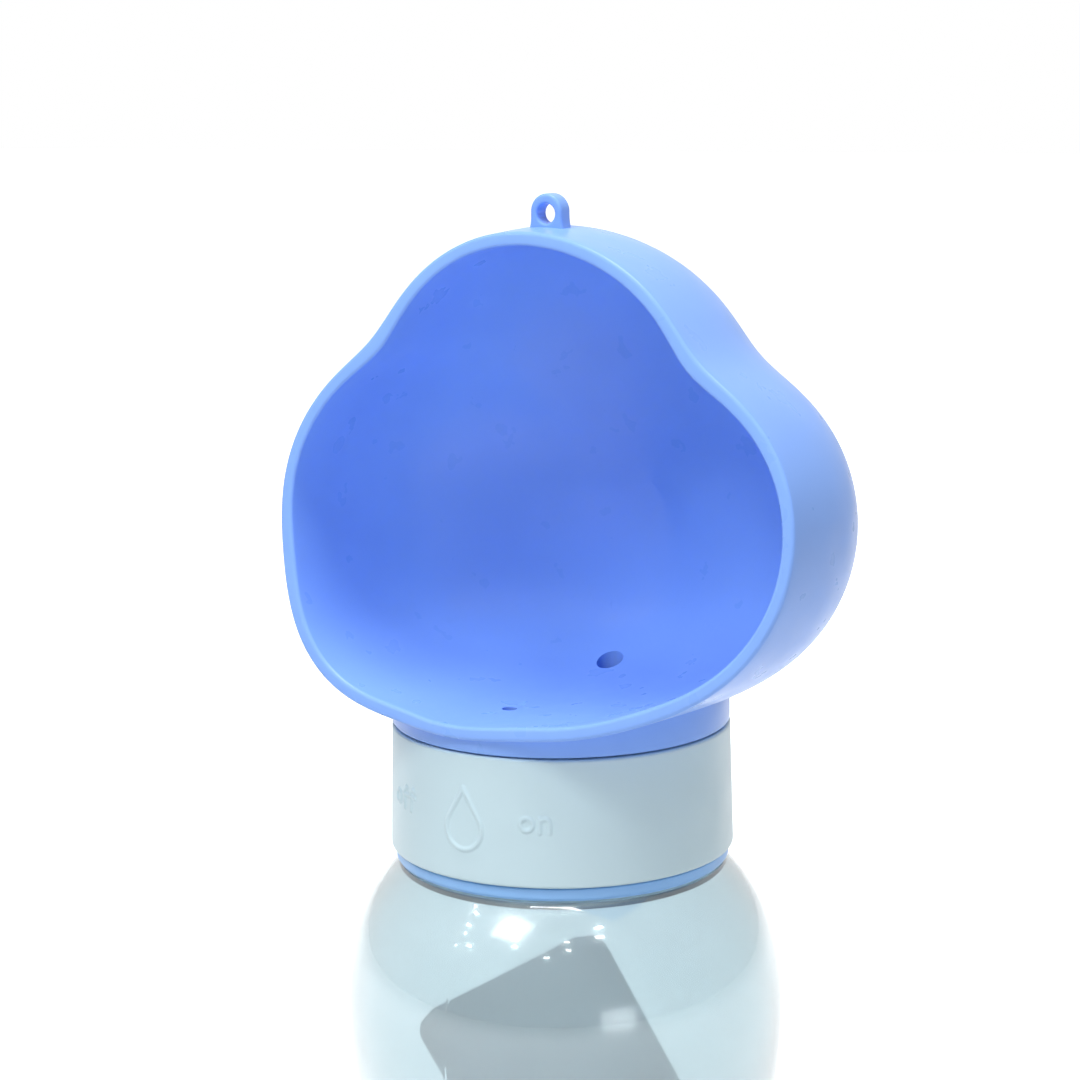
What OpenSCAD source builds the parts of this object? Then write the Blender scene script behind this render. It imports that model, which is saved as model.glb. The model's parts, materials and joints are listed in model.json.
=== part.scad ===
// Travel water bottle for dogs: a clear bulb bottle with a screw-on twist collar and a
// cloud-shaped drinking bowl that turns on the collar between off and on.
// Millimetres. The origin is the centre of the base, +Z is up and the bowl opens towards -Y.

/* [Bottle] */
// Largest radius of the clear bulb
belly_r = 38.5; // [34:0.5:46]
// Height of the bulb from the table to its shoulder
bulb_h = 76.3; // [70:0.1:110]
// Height of the bulb's widest line
belly_z = 50; // [44:1:60]
// Distance that the shoulder stands back from the seal ring's side
shoulder_inset = 0.5; // [0.2:0.1:1.5]
// Fullness of the bulb between widest line and shoulder, 2 is an ellipse
bulb_fullness = 2.3; // [2:0.1:3]
// Radius of the ring that the bottle stands on
base_r = 24; // [21:0.5:28]
// Radius of the curve between the base and the bulb
base_corner = 7; // [5:0.5:9]
// Width of the outer ring that the bottle stands on
base_ring_w = 4; // [2:0.5:6]
// Radius of the flat disc in the middle of the base
base_disc_r = 13; // [8:0.5:14]
// Depth of the groove between the disc and the ring
base_groove = 1; // [0.4:0.1:1.6]
// Wall of the bottle
bottle_wall = 1.6; // [1:0.1:2.2]
// Inner radius of the neck
neck_bore_r = 19.5; // [17:0.5:21]
// Wall of the neck
neck_wall = 2.5; // [2:0.1:3]

/* [Thread] */
// Rise of the thread in one turn
thread_pitch = 4; // [3.6:0.1:5]
// Turns of thread on the neck and in the cap
thread_turns = 1.5; // [1:0.25:2]
// Depth of the thread
thread_depth = 1.4; // [1:0.1:1.6]
// Width of the neck thread at its crest
thread_crest_w = 1; // [0.7:0.1:1.2]
// Slope of the thread's flanks, in degrees
thread_angle = 27; // [20:1:32]
// Height of the thread's start above the cap's skirt
thread_lead_in = 1; // [0.6:0.1:2]
// Height of the plain neck above the thread
thread_lead_out = 4.5; // [3:0.1:6]

/* [Paper slip] */
// Width of the blank slip inside the bottle
slip_w = 34; // [20:1:36]
// Height of the slip
slip_h = 44; // [30:1:48]
// Thickness of the slip
slip_t = 0.4; // [0.3:0.05:0.8]
// Radius of the slip's corners
slip_corner = 4; // [1:0.5:8]
// Lean of the slip to the left, in degrees
slip_lean = 27; // [0:1:35]
// Turn of the slip about the bottle, in degrees from the bowl's front
slip_turn = 31; // [0:1:60]
// Height of the slip's middle
slip_z = 44; // [40:1:48]

/* [Seal ring] */
// Distance that the ring stands back from the collar's side
ring_inset = 0.8; // [0.3:0.1:1.5]
// Height of the ring that shows
ring_h = 2.2; // [1.6:0.1:4]
// Height of the ring's lip inside the collar
ring_lip_h = 2.4; // [2:0.1:4]
// Height of the bead that holds the lip in the collar
ring_bead_h = 1; // [0.6:0.1:1.4]
// Depth of the bead
ring_bead_d = 0.6; // [0.4:0.1:0.8]

/* [Collar] */
// Wall of the collar at its bottom
collar_wall = 2.3; // [2:0.1:4]
// Distance that the collar draws in towards its top
collar_taper = 0.5; // [0:0.1:0.8]
// Height that the collar rises over the rotor's underside
collar_lap = 1.2; // [0.8:0.1:2.4]
// Chamfer of the collar's edges
collar_chamfer = 0.5; // [0.3:0.1:0.8]
// Height of the raised marks over the collar's surface
mark_relief = 0.3; // [0.2:0.05:0.6]
// Height of the small letters
letter_h = 2.7; // [2:0.1:4]
// Width of the letters' strokes
stroke_w = 0.6; // [0.4:0.1:0.8]
// Height of the drop mark between the words
drop_h = 11; // [7:0.5:14]
// Angle of the drop mark from the bowl's front, in degrees
drop_turn = -3; // [-8:1:4]

/* [Cap deck] */
// Thickness of the deck
deck_t = 3; // [2.4:0.1:4]
// Wall of the threaded skirt
skirt_wall = 2.4; // [1.6:0.1:3]
// Thickness of the neck gasket
neck_gasket_t = 1.5; // [1:0.1:2.4]
// Thickness of the valve gasket
valve_gasket_t = 1.2; // [1:0.1:2]

/* [Valve rotor] */
// Thickness of the rotor
rotor_t = 3.5; // [3:0.1:5]
// Width of the stop lug under the rotor's edge
lug_w = 1.8; // [1.2:0.1:2.4]
// Radius of the hub that turns in the deck
hub_r = 5; // [4.4:0.1:6]
// Distance of each port from the axis
port_orbit = 13.3; // [12:0.1:14.5]
// Angle of the port line from the bowl's front, in degrees
port_turn = -10; // [-30:1:0]
// Radius of the small front port
front_port_r = 1.3; // [1:0.1:1.8]
// Radius of the large rear port
rear_port_r = 2.35; // [1.8:0.05:2.6]
// Wall of the bowl's two port tubes
tube_wall = 1.4; // [1:0.1:1.8]
// Depth that the tubes reach into the rotor
tube_key = 0.7; // [0.4:0.1:1]
// Thickness of the small seals under the tubes
port_seal_t = 0.8; // [0.6:0.1:1.2]
// Turn of the bowl to off, in degrees
off_turn = -33; // [-45:1:-20]
// Turn of the bowl to on, in degrees
on_turn = 22; // [15:1:35]

/* [Hub screw] */
// Radius of the screw's shank
screw_r = 1.5; // [1.2:0.1:1.8]
// Depth of the screw in the bowl
screw_bite = 1.4; // [1:0.1:1.8]
// Radius of the screw's head
screw_head_r = 3.2; // [2.8:0.1:4]
// Height of the screw's head
screw_head_h = 2.2; // [1.6:0.1:3]
// Radius of the washer
washer_r = 9; // [7:0.5:9]
// Thickness of the washer
washer_t = 1; // [0.8:0.1:1.4]
// Radius of the O-ring's section
o_ring_r = 0.7; // [0.5:0.1:0.9]

/* [Drinking bowl] */
// Distance that the bowl's neck stands back from the collar's top
bowl_neck_inset = 0.1; // [0:0.1:0.6]
// Wall of the bowl's neck
bowl_neck_wall = 2; // [1.6:0.1:2]
// Height of the straight part of the bowl's neck
bowl_neck_h = 3.4; // [3:0.1:6]
// Height of the round shoulder above the straight part
neck_shoulder_h = 17; // [10:0.5:20]
// Width of the round shoulder
neck_shoulder_w = 13; // [8:0.5:16]
// Wall of the bowl
bowl_wall = 2.15; // [1.8:0.05:2.6]
// Depth of the bowl from rim to back
bowl_depth = 49.5; // [44:0.5:56]
// Distance that the bowl's lip stands out before its neck
lip_overhang = 1.1; // [0.6:0.1:3]
// Height of the lip above the bottom of the bowl's neck
lip_rise = 2.2; // [1.6:0.1:4]
// Backward tilt of the rim, in degrees
rim_tilt = 10; // [4:1:14]
// Chamfer of the rim's edges
rim_chamfer = 0.45; // [0.2:0.05:0.8]
// Height of the bowl's lip over the rotor
floor_lift = 0.6; // [0.4:0.1:2]
// Sideways place of the outline's centre
bowl_shift = 4; // [0:0.5:6]
// Radius of the top lobe
top_lobe_r = 30.6; // [28:0.1:34]
// Sideways place of the top lobe's centre from the outline's centre
top_lobe_x = 2.7; // [0:0.1:5]
// Height of the top lobe's centre over the outline's centre
top_lobe_rise = 12.9; // [11:0.1:16]
// Radius of the curve between the top lobe and the left valley
brow_r = 20.9; // [18:0.1:24]
// Distance of that curve's centre to the left of the outline's centre
brow_x = 5.1; // [3:0.1:8]
// Height of that curve's centre over the outline's centre
brow_rise = 21.5; // [18:0.1:24]
// Radius of the left lobe
left_lobe_r = 24.2; // [22:0.1:27]
// Distance of the left lobe's centre from the outline's centre
left_lobe_x = 19.3; // [17:0.1:22]
// Height of the left lobe's centre over the outline's centre
left_lobe_rise = 0.9; // [-2:0.1:3]
// Radius of the right lobe
right_lobe_r = 26.6; // [24:0.1:29]
// Distance of the right lobe's centre from the outline's centre
right_lobe_x = 24.3; // [22:0.1:27]
// Distance of the right lobe's centre below the outline's centre
right_lobe_drop = 2.2; // [0:0.1:5]
// Radius of the lower left corner
corner_r = 16.5; // [14:0.1:19]
// Distance of the corner's centre to the left of the outline's centre
corner_x = 22.8; // [20:0.1:25]
// Distance of the corner's centre below the outline's centre
corner_drop = 15.5; // [13:0.1:18]
// Radius of the left half of the bottom
bottom_left_r = 33.6; // [31:0.1:36]
// Distance of its centre to the left of the outline's centre
bottom_left_x = 7.4; // [5:0.1:10]
// Distance of its centre below the outline's centre
bottom_left_drop = 3.7; // [1:0.1:6]
// Radius of the right half of the bottom
bottom_right_r = 29; // [26:0.1:32]
// Distance of its centre to the right of the outline's centre
bottom_right_x = 11; // [8:0.1:14]
// Distance of its centre below the outline's centre
bottom_right_drop = 6; // [3:0.1:9]
// Softness of the valleys between the lobes, a high figure is sharp
valley_sharpness = 12.6; // [10:0.2:30]

/* [Lanyard eye] */
// Width of the eye
eye_w = 5.9; // [5:0.1:8]
// Thickness of the eye from front to back
eye_t = 3.2; // [2.6:0.1:5]
// Height of the eye over the bowl
eye_h = 5.5; // [5:0.1:9]
// Radius of the hole in the eye
eye_bore_r = 1.65; // [1.2:0.05:2]
// Distance of the hole below the middle of the eye's round top
eye_bore_drop = 0.3; // [0:0.05:0.5]
// Distance of the eye behind the rim
eye_set_back = 7.5; // [3:0.1:10]
// Distance of the eye to the right of the outline's centre
eye_shift = -0.7; // [-2:0.1:2]
// Depth of the eye's foot in the bowl's wall
eye_foot_depth = 1; // [0.6:0.1:1.4]

/* [Clearances] */
// Gap between faces that turn or slide past each other
run_gap = 0.3; // [0.2:0.01:0.4]
// Radial gap of the hub in its bore
hub_gap = 0.1; // [0.04:0.01:0.2]
// Radial gap of the port tubes in the rotor
key_gap = 0.05; // [0.02:0.01:0.1]
// Gap between the flanks of the two threads
flank_gap = 0.35; // [0.25:0.01:0.45]
// Radial gap between each thread's crest and the other's root
crest_gap = 0.4; // [0.3:0.05:0.6]
// Radial gap between the seal ring and the neck thread
ring_room = 0.9; // [0.5:0.1:1.2]
// Radial gap between the skirt and the collar
collar_room = 1; // [0.6:0.1:2]
// Extra radius of the deck's ports over the rotor's
port_room = 0.25; // [0:0.05:0.5]

/* [Hidden] */
$fn = 96;
small_fn = 48;
eps = 0.01;
past = 1;

// Levels from the table up
shoulder_rise = bulb_h - belly_z;
shoulder_z = bulb_h;
ring_z = shoulder_z + run_gap;
ring_top_z = ring_z + ring_h;
lip_top_z = ring_top_z + ring_lip_h;
collar_z = ring_top_z + run_gap;
skirt_z = lip_top_z + run_gap;
thread_z = skirt_z + thread_lead_in;
neck_top_z = thread_z + thread_pitch * thread_turns + thread_lead_out;
gasket_z = neck_top_z + run_gap;
deck_z = gasket_z + neck_gasket_t;
deck_top_z = deck_z + deck_t;
valve_z = deck_top_z + valve_gasket_t;
rotor_z = valve_z + run_gap;
rotor_top_z = rotor_z + rotor_t;
collar_top_z = rotor_z + collar_lap;
bowl_neck_z = collar_top_z + run_gap;

// Radii from the neck out
neck_r = neck_bore_r + neck_wall;
thread_r = neck_r + thread_depth;
cap_root_r = thread_r + crest_gap;
skirt_r = cap_root_r + skirt_wall;
collar_bore_r = skirt_r + collar_room;
collar_bottom_r = collar_bore_r + collar_wall;
collar_top_r = collar_bottom_r - collar_taper;
ring_r = collar_bottom_r - ring_inset;
ring_bore_r = thread_r + ring_room;
shoulder_r = ring_r - shoulder_inset;
rotor_r = collar_bore_r - 2 * run_gap;
bowl_neck_r = collar_top_r - bowl_neck_inset;

// The bottle's neck has a chamfered mouth, and its floor clears the groove of the base
mouth_chamfer = 0.4;
floor_z = base_groove + bottle_wall;

// The bulb below its widest line is one cubic curve, with these two inner handles
base_curve_rise = 2;
belly_curve_z = 0.66 * belly_z;
bulb_steps = 14;

// Full height that the upper curve of the bulb would have without the neck
bulb_height = shoulder_rise / pow(1 - pow(shoulder_r / belly_r, bulb_fullness), 1 / bulb_fullness);

// The two threads share one helix, half a pitch apart
flank = tan(thread_angle);
neck_thread_root_w = thread_crest_w + 2 * flank * thread_depth;
cap_thread_crest_w = thread_pitch - neck_thread_root_w + 2 * flank * crest_gap - 2 * flank_gap;
cap_thread_root_w = cap_thread_crest_w + 2 * flank * thread_depth;
cap_thread_z = thread_z - thread_pitch / 2;
cap_thread_from = (skirt_z + cap_thread_root_w / 2 + 5 * eps - cap_thread_z) / thread_pitch;
thread_steps = 36;
thread_fade = 0.08;
thread_sink = 0.3;

// The ring's lip runs in the collar, and its bead in a groove there
lip_r = collar_bore_r - run_gap;
bead_z = lip_top_z - ring_bead_h;
bead_r = lip_r + ring_bead_d;
groove_r = bead_r + run_gap;

// The rotor's lug runs between two posts on the deck, outside the valve gasket
lug_in_r = rotor_r - lug_w;
lug_turn = 180;
lug_half_turn = 4;
post_half_turn = 4;
stop_slack = 1;
stop_edge = 0.3;
stop_sink = 0.2;
valve_gasket_r = lug_in_r - 2 * run_gap;
gasket_bore_r = hub_r + 2 * run_gap;

// Places of the ports in the bowl, each [radius, angle]; the deck's meet them at on
ports = [[front_port_r, port_turn], [rear_port_r, port_turn + 180]];
tube_z = rotor_top_z - tube_key;
port_seal_z = tube_z - port_seal_t;

// The tubes and the hub's boss run up through the bowl's floor, which cuts them off
tube_rise = 11;
tube_top_z = rotor_top_z + tube_rise;

// The screw and its washer hold the hub from below, and the O-ring seals it in the deck
hub_end_z = deck_z - run_gap;
washer_z = hub_end_z - washer_t;
screw_head_z = washer_z - screw_head_h;
screw_end_z = rotor_top_z + screw_bite;
screw_edge = 0.4;
o_ring_mid_r = hub_r - o_ring_r;
o_ring_z = deck_z + deck_t / 2;
o_ring_groove_h = 2 * o_ring_r + 0.2;

// Outline of the bowl: round lobes about one centre, each [x, z, radius]
lobes = [
    [top_lobe_x, top_lobe_rise, top_lobe_r],
    [-brow_x, brow_rise, brow_r],
    [-left_lobe_x, left_lobe_rise, left_lobe_r],
    [right_lobe_x, -right_lobe_drop, right_lobe_r],
    [-corner_x, -corner_drop, corner_r],
    [-bottom_left_x, -bottom_left_drop, bottom_left_r],
    [bottom_right_x, -bottom_right_drop, bottom_right_r]
];
lobe_scale = 50;
outline_steps = 72;
depth_steps = 14;

// The bowl closes towards its back: roundness, hold of its floor, sink and sideways drift
back_power = 4;
back_root = 1.18;
floor_hold = 0.67;
back_drop = 2.1;
back_drift = 0.02;

// On the way there it swells a little, stands up from the rim's tilt and loses its valleys
side_swell = 0.07;
stand_up = 0.93;
valley_fade = 10.8;
back_share = 0.87;
back_r = back_share * (cloud_r(0, 0) + cloud_r(180, 0)) / 2;

// The bowl stands over the rotor, with its lip just before and above the collar
lip_y = bowl_neck_r + lip_overhang;
lip_z = bowl_neck_z + lip_rise;
bowl_z = rotor_top_z + floor_lift + cloud_r(270, 0) * cos(rim_tilt);
rim_y = -lip_y + (bowl_z - lip_z) * tan(rim_tilt);
recess_r = bowl_neck_r - bowl_neck_wall;
neck_straight_z = bowl_neck_z + bowl_neck_h;

// The eye's foot stands on the top lobe, behind the rim
eye_r = eye_w / 2;
eye_foot = bowl_point(90, eye_set_back, bowl_depth, 0) + [eye_shift, 0, 0];
eye_z = eye_foot[2] + eye_h - eye_r;

// Shares of the letters' height, and of the drop's
letter_pitch = 1.12;
bow_share = 0.42;
hook_share = 0.36;
stem_share = 1.45;
bar_share = 0.8;
drop_share = 0.34;

// Point of a cubic curve
function cubic(p, t) =
    let (s = 1 - t)
    s * s * s * p[0] + 3 * s * s * t * p[1] + 3 * s * t * t * p[2] + t * t * t * p[3];

// Lower half of the bulb from the table to the widest line, drawn in by the wall
function bulb_below(inset) =
    let (p = [
        [base_r - inset, inset > 0 ? floor_z + eps : 0],
        [base_r + base_corner - inset, base_curve_rise + inset],
        [belly_r - inset, belly_curve_z],
        [belly_r - inset, belly_z]
    ])
    [for (i = [0:bulb_steps]) cubic(p, i / bulb_steps)];

// Upper half of the bulb from the widest line to the shoulder, drawn in by the wall
function bulb_above(inset) =
    let (r = belly_r - inset, h = bulb_height - inset, top = shoulder_rise - inset)
    [for (i = [1:bulb_steps])
        let (z = top * sin(90 * i / bulb_steps))
        [r * pow(1 - pow(z / h, bulb_fullness), 1 / bulb_fullness), belly_z + z]];

// Inner radius of the bulb at a height
function bulb_bore(z) =
    lookup(z, [for (p = concat(bulb_below(bottle_wall), bulb_above(bottle_wall))) [p[1], p[0]]]);

function reversed(v) = [for (i = [len(v) - 1:-1:0]) v[i]];

function sumup(v, i = 0) = i < len(v) ? v[i] + sumup(v, i + 1) : 0;

// Helical rib with a trapezium section; it stands outwards for depth > 0, inwards for depth < 0
module helix(root_r, depth, root_w, crest_w, z, from_turn, turns) {
    n = round(turns * thread_steps);
    side = sign(depth);
    hidden_r = root_r - side * thread_sink;
    section = function (i)
        let (
            turn = from_turn + turns * i / n,
            fade = min(1, min(i, n - i) / n / thread_fade),
            a = 360 * turn,
            zc = z + thread_pitch * turn,
            rc = root_r + depth * fade
        )
        [for (q = [[hidden_r, -root_w / 2], [rc, -crest_w / 2], [rc, crest_w / 2], [hidden_r, root_w / 2]])
            [q[0] * sin(a), -q[0] * cos(a), zc + q[1]]];
    points = [for (i = [0:n]) each section(i)];
    sides = [for (i = [0:n - 1]) for (k = [0:3])
        let (a = 4 * i + k, b = 4 * i + (k + 1) % 4) each [[a, b, b + 4], [a, b + 4, a + 4]]];
    last = 4 * n;
    ends = [[0, 3, 2], [0, 2, 1], [last, last + 1, last + 2], [last, last + 2, last + 3]];
    faces = [for (f = concat(sides, ends)) side > 0 ? f : [f[0], f[2], f[1]]];
    polyhedron(points, faces);
}

// Block that bends about Z, with its middle at an angle from the bowl's front
module sector(r1, r2, z1, z2, middle, half) {
    rotate([0, 0, middle - half - 90])
        rotate_extrude(angle = 2 * half)
            translate([r1, z1]) square([r2 - r1, z2 - z1]);
}

// Puts children at a radius and an angle from the bowl's front
module at_turn(angle, r, z = 0) {
    rotate([0, 0, angle]) translate([0, -r, z]) children();
}

// Ring or disc with a hole, standing on z
module ring_plate(z, h, r, hole_r) {
    difference() {
        translate([0, 0, z]) cylinder(h = h, r = r);
        translate([0, 0, z - past]) cylinder(h = h + 2 * past, r = hole_r);
    }
}

module bottle_body() {
    base_in = base_r - base_ring_w;
    outside = concat(
        [[0, 0], [base_disc_r, 0], [base_disc_r + base_groove, base_groove],
         [base_in - base_groove, base_groove], [base_in, 0]],
        bulb_below(0), bulb_above(0),
        [[neck_r, shoulder_z], [neck_r, neck_top_z - mouth_chamfer],
         [neck_r - mouth_chamfer, neck_top_z]]
    );
    inside = concat(
        [[0, floor_z]],
        bulb_below(bottle_wall), bulb_above(bottle_wall),
        [[neck_bore_r, shoulder_z - bottle_wall], [neck_bore_r, neck_top_z]]
    );
    color("#cfe0e2") union() {
        rotate_extrude() polygon(concat(outside, reversed(inside)));
        helix(neck_r, thread_depth, neck_thread_root_w, thread_crest_w, thread_z, 0, thread_turns);
    }
}

module rounded_plate(w, h, r) {
    square([w, h - 2 * r], center = true);
    square([w - 2 * r, h], center = true);
    for (x = [-1, 1], y = [-1, 1])
        translate([x * (w / 2 - r), y * (h / 2 - r)]) circle(r, $fn = small_fn);
}

// The slip leans in the bulb, with its two far corners against the wall
module paper_slip() {
    half_w = slip_w / 2 - slip_corner;
    half_h = slip_h / 2 - slip_corner;
    reach = half_w * cos(slip_lean) + half_h * sin(slip_lean) + slip_corner;
    rise = abs(half_h * cos(slip_lean) - half_w * sin(slip_lean));
    wall_r = min(bulb_bore(slip_z + rise), bulb_bore(slip_z - rise)) - run_gap;
    slip_y = sqrt(wall_r * wall_r - reach * reach) - slip_t;
    color("#aab9c2")
        at_turn(slip_turn, slip_y, slip_z)
            rotate([90, 0, 0]) rotate([0, 0, slip_lean])
                linear_extrude(slip_t) rounded_plate(slip_w, slip_h, slip_corner);
}

module seal_ring() {
    color("#84b2e9") rotate_extrude() polygon([
        [ring_bore_r, ring_z], [ring_r - collar_chamfer, ring_z], [ring_r, ring_z + collar_chamfer],
        [ring_r, ring_top_z], [lip_r, ring_top_z], [lip_r, bead_z], [bead_r, bead_z],
        [bead_r, lip_top_z - ring_bead_h / 2], [lip_r, lip_top_z], [ring_bore_r, lip_top_z]
    ]);
}

// Part of a ring-shaped stroke that lies inside a rectangle from one corner
module stroke_arc(r, corner, size) {
    intersection() {
        difference() {
            circle(r, $fn = small_fn);
            circle(r - stroke_w, $fn = small_fn);
        }
        translate(corner) square(size);
    }
}

// Small letters drawn with plain strokes, each on its own base line
module letter_o() {
    r = letter_h / 2;
    translate([0, r]) stroke_arc(r, [-r, -r], 2 * r);
}

module letter_n() {
    bow_r = letter_h * bow_share;
    translate([-bow_r, 0]) square([stroke_w, letter_h]);
    translate([bow_r - stroke_w, 0]) square([stroke_w, letter_h - bow_r]);
    translate([0, letter_h - bow_r]) stroke_arc(bow_r, [-bow_r, 0], [2 * bow_r, bow_r]);
}

module letter_f() {
    hook_r = letter_h * hook_share;
    stem_h = letter_h * stem_share - hook_r;
    bar_w = letter_h * bar_share;
    translate([-stroke_w, 0]) square([stroke_w, stem_h]);
    translate([hook_r - stroke_w, stem_h]) stroke_arc(hook_r, [-hook_r, 0], [1.5 * hook_r, hook_r]);
    translate([-bar_w / 2, letter_h - stroke_w]) square([bar_w, stroke_w]);
}

// Outline of a water drop with its point up, about the middle of its round part
module drop(h) {
    r = h * drop_share;
    tip = h - r;
    lift = asin(r / tip);
    polygon(concat([[0, tip]], [for (a = [lift:-6:-180 - lift]) [r * cos(a), r * sin(a)]]));
}

// Bar with the outline of a flat mark, through the collar's side
module through_side(angle, z) {
    reach = 2 * collar_wall;
    at_turn(angle, collar_bottom_r - collar_wall, z)
        rotate([90, 0, 0]) linear_extrude(reach) children();
}

module collar_marks() {
    middle_z = (collar_z + collar_top_z) / 2;
    line_z = middle_z - letter_h / 2;
    pitch_turn = letter_h * letter_pitch / collar_bottom_r * 180 / PI;
    f_turn = pitch_turn * bar_share;
    through_side(off_turn - pitch_turn, line_z) letter_o();
    through_side(off_turn, line_z) letter_f();
    through_side(off_turn + f_turn, line_z) letter_f();
    through_side(on_turn - pitch_turn / 2, line_z) letter_o();
    through_side(on_turn + pitch_turn / 2, line_z) letter_n();
    through_side(drop_turn, middle_z - drop_h * (0.5 - drop_share)) difference() {
        drop(drop_h);
        drop(drop_h - 2.4 * stroke_w);
    }
}

module collar_shell() {
    c = collar_chamfer;
    groove_low = bead_z - run_gap;
    groove_high = lip_top_z + run_gap;
    color("#bcd4dc") union() {
        rotate_extrude() polygon([
            [collar_bore_r, collar_z], [collar_bottom_r - c, collar_z],
            [collar_bottom_r, collar_z + c], [collar_top_r, collar_top_z - c],
            [collar_top_r - c, collar_top_z], [collar_bore_r, collar_top_z],
            [collar_bore_r, groove_high], [groove_r, groove_high],
            [groove_r, groove_low], [collar_bore_r, groove_low]
        ]);
        intersection() {
            collar_marks();
            difference() {
                translate([0, 0, collar_z])
                    cylinder(h = collar_top_z - collar_z, r1 = collar_bottom_r + mark_relief,
                             r2 = collar_top_r + mark_relief);
                cylinder(h = collar_top_z + past, r = (groove_r + collar_top_r) / 2);
            }
        }
    }
}

module cap_deck() {
    hub_bore_r = hub_r + hub_gap;
    reach = lug_half_turn + post_half_turn + stop_slack;
    color("#dfe6e8") union() {
        difference() {
            rotate_extrude() polygon([
                [hub_bore_r, deck_z], [cap_root_r, deck_z], [cap_root_r, skirt_z],
                [skirt_r, skirt_z], [skirt_r, deck_z], [collar_bore_r, deck_z],
                [collar_bore_r, deck_top_z], [hub_bore_r, deck_top_z]
            ]);
            port_drills(on_turn, port_room, deck_z - past, deck_t + 2 * past);
        }
        for (a = [lug_turn + off_turn - reach, lug_turn + on_turn + reach])
            sector(lug_in_r, collar_bore_r - stop_edge, deck_top_z - stop_sink, valve_z, a,
                   post_half_turn);
        helix(cap_root_r, -thread_depth, cap_thread_root_w, cap_thread_crest_w,
              cap_thread_z, cap_thread_from, thread_turns);
    }
}

// Both ports as drills, turned from the bowl's front and widened all round
module port_drills(turn, widen, z, h) {
    for (p = ports)
        at_turn(p[1] + turn, port_orbit, z) cylinder(h = h, r = p[0] + widen, $fn = small_fn);
}

module neck_gasket() {
    color("#e9edee") ring_plate(gasket_z, neck_gasket_t, cap_root_r - run_gap, neck_bore_r);
}

module valve_gasket() {
    color("#f2f4f4") difference() {
        ring_plate(deck_top_z, valve_gasket_t, valve_gasket_r, gasket_bore_r);
        port_drills(on_turn, port_room, deck_top_z - past, valve_gasket_t + 2 * past);
    }
}

module valve_rotor() {
    groove_r = hub_r - 2 * o_ring_r;
    groove_low = o_ring_z - o_ring_groove_h / 2;
    groove_high = o_ring_z + o_ring_groove_h / 2;
    color("#5f93dc") union() {
        difference() {
            rotate_extrude() polygon([
                [screw_r, hub_end_z], [hub_r, hub_end_z], [hub_r, groove_low], [groove_r, groove_low],
                [groove_r, groove_high], [hub_r, groove_high], [hub_r, rotor_z],
                [rotor_r, rotor_z], [rotor_r, rotor_top_z], [screw_r, rotor_top_z]
            ]);
            port_drills(0, 0, rotor_z - past, rotor_t + 2 * past);
            port_drills(0, tube_wall, port_seal_z, rotor_t);
        }
        sector(lug_in_r, rotor_r - stop_edge, deck_top_z + run_gap, rotor_z + stop_sink, lug_turn,
               lug_half_turn);
    }
}

module port_seals() {
    color("#e9edee") difference() {
        port_drills(0, tube_wall, port_seal_z, port_seal_t);
        port_drills(0, 0, port_seal_z - past, port_seal_t + 2 * past);
    }
}

module hub_o_ring() {
    color("#3a3f44") translate([0, 0, o_ring_z])
        rotate_extrude() translate([o_ring_mid_r, 0]) circle(o_ring_r, $fn = 32);
}

module hub_washer() {
    color("#c9ced2") ring_plate(washer_z, washer_t, washer_r, screw_r);
}

module hub_screw() {
    slot_r = screw_head_r * 0.6;
    slot_w = 0.9;
    slot_d = screw_head_h * 0.55;
    tip_h = screw_r * 0.6;
    tip_r = screw_r * 0.4;
    color("#b4babf") difference() {
        rotate_extrude() polygon([
            [0, screw_head_z], [screw_head_r - screw_edge, screw_head_z],
            [screw_head_r, screw_head_z + screw_edge], [screw_head_r, washer_z],
            [screw_r, washer_z], [screw_r, screw_end_z - tip_h], [tip_r, screw_end_z], [0, screw_end_z]
        ]);
        for (a = [0, 90])
            rotate([0, 0, a]) translate([-slot_r, -slot_w / 2, screw_head_z - past])
                cube([2 * slot_r, slot_w, slot_d + past]);
    }
}

// Distance from the outline's centre to the far side of one lobe, towards angle a
function lobe_reach(l, a) =
    let (
        m = norm([l[0], l[1]]),
        d = a - atan2(l[1], l[0]),
        q = l[2] * l[2] - pow(m * sin(d), 2)
    )
    q > 0 ? max(m * cos(d) + sqrt(q), eps) : eps;

// Outline radius towards angle a, all lobes drawn in by inset and blended in the valleys
function cloud_r(a, inset) =
    let (reaches = [for (l = lobes) lobe_reach([l[0], l[1], l[2] - inset], a) / lobe_scale])
    lobe_scale * pow(sumup([for (r = reaches) pow(r, valley_sharpness)]), 1 / valley_sharpness);

// How much of the outline is left at a share u of the depth; the floor keeps more of it,
// and only the sides and the top swell
function keep(a, u) =
    let (low = pow(max(0, -sin(a)), 2), s = pow(1 - pow(u, back_power), 1 / back_root))
    pow(s, 1 - floor_hold * low) * (1 + side_swell * u * (1 - low));

// The valleys fade out towards the back, where the outline turns round
function faded_r(a, u, inset) =
    let (w = pow(u, valley_fade))
    (1 - w) * cloud_r(a, inset) + w * (back_r - inset);

// Middle of the outline at depth t behind the rim
function centre_at(t) = [
    bowl_shift + back_drift * t,
    rim_y + t * cos(back_drop),
    bowl_z - t * sin(back_drop)
];

// Point of the bowl at angle a and depth t
function bowl_point(a, t, depth, inset) =
    let (
        u = max(0, t / depth),
        r = faded_r(a, u, inset) * keep(a, u),
        tilt = rim_tilt * (1 - stand_up * u)
    )
    centre_at(t) + r * [cos(a), sin(a) * sin(tilt), sin(a) * cos(tilt)];

// One ring of points round the bowl
function bowl_ring(t, depth, inset) =
    [for (i = [0:outline_steps - 1]) bowl_point(360 * i / outline_steps, t, depth, inset)];

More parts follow.
